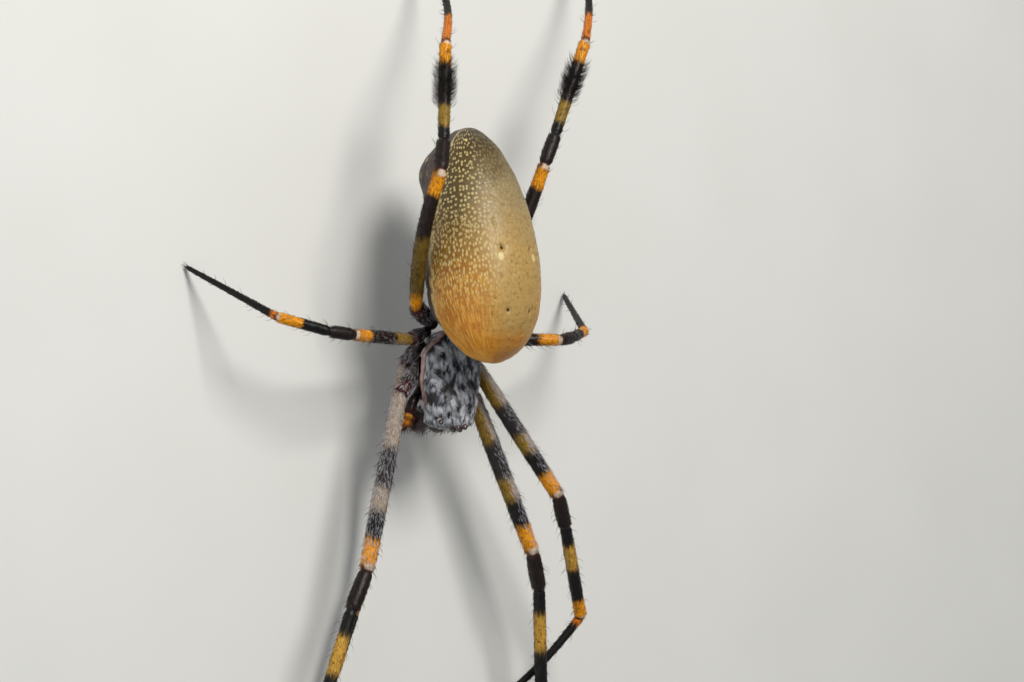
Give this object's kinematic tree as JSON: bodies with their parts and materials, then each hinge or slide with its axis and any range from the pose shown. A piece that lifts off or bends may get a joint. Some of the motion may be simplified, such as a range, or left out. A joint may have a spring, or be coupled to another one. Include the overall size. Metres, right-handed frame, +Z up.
{
  "type": "golden silk orb weaver",
  "caption": "Still life-size model of a large orb-web spider with a long amber abdomen and long banded legs, standing on its feet.",
  "frame": {"origin": "on the floor, below the middle of the bounding box", "axes": "+Z up, -Y towards the head, +X towards the spider's left side"},
  "size_m": [0.0586, 0.1156, 0.0234],
  "materials": {
    "abdomen_skin": "satin skin, amber in front, olive brown with cream flecks towards the tail",
    "carapace": "black cuticle under a short coat of silver hair",
    "jaw": "glossy black-brown cuticle with bristles",
    "fang": "polished black horn",
    "leg_cuticle": "satin cuticle in black, olive yellow and orange bands, with short hair",
    "spinneret_skin": "brown downy skin",
    "hair": "fine silver and black hair and bristles",
    "eye": "polished black lens"
  },
  "bodies": {
    "root": {"prosoma": "carapace", "pedicel": "leg_cuticle", "abdomen": "abdomen_skin", "spinnerets": "spinneret_skin", "chelicera_R": "jaw", "fang_R": "fang", "palp_R": "leg_cuticle", "chelicera_L": "jaw", "fang_L": "fang", "palp_L": "leg_cuticle", "coxa_R1": "leg_cuticle", "femur_R1": "leg_cuticle", "patella_R1": "leg_cuticle", "tibia_R1": "leg_cuticle", "metatarsus_R1": "leg_cuticle", "tarsus_R1": "leg_cuticle", "coxa_L1": "leg_cuticle", "femur_L1": "leg_cuticle", "patella_L1": "leg_cuticle", "tibia_L1": "leg_cuticle", "metatarsus_L1": "leg_cuticle", "tarsus_L1": "leg_cuticle", "coxa_R2": "leg_cuticle", "femur_R2": "leg_cuticle", "patella_R2": "leg_cuticle", "tibia_R2": "leg_cuticle", "metatarsus_R2": "leg_cuticle", "tarsus_R2": "leg_cuticle", "coxa_L2": "leg_cuticle", "femur_L2": "leg_cuticle", "patella_L2": "leg_cuticle", "tibia_L2": "leg_cuticle", "metatarsus_L2": "leg_cuticle", "tarsus_L2": "leg_cuticle", "coxa_R3": "leg_cuticle", "femur_R3": "leg_cuticle", "patella_R3": "leg_cuticle", "tibia_R3": "leg_cuticle", "metatarsus_R3": "leg_cuticle", "tarsus_R3": "leg_cuticle", "coxa_L3": "leg_cuticle", "femur_L3": "leg_cuticle", "patella_L3": "leg_cuticle", "tibia_L3": "leg_cuticle", "metatarsus_L3": "leg_cuticle", "tarsus_L3": "leg_cuticle", "coxa_R4": "leg_cuticle", "femur_R4": "leg_cuticle", "patella_R4": "leg_cuticle", "tibia_R4": "leg_cuticle", "metatarsus_R4": "leg_cuticle", "tarsus_R4": "leg_cuticle", "coxa_L4": "leg_cuticle", "femur_L4": "leg_cuticle", "patella_L4": "leg_cuticle", "tibia_L4": "leg_cuticle", "metatarsus_L4": "leg_cuticle", "tarsus_L4": "leg_cuticle"}
  },
  "joints": []
}
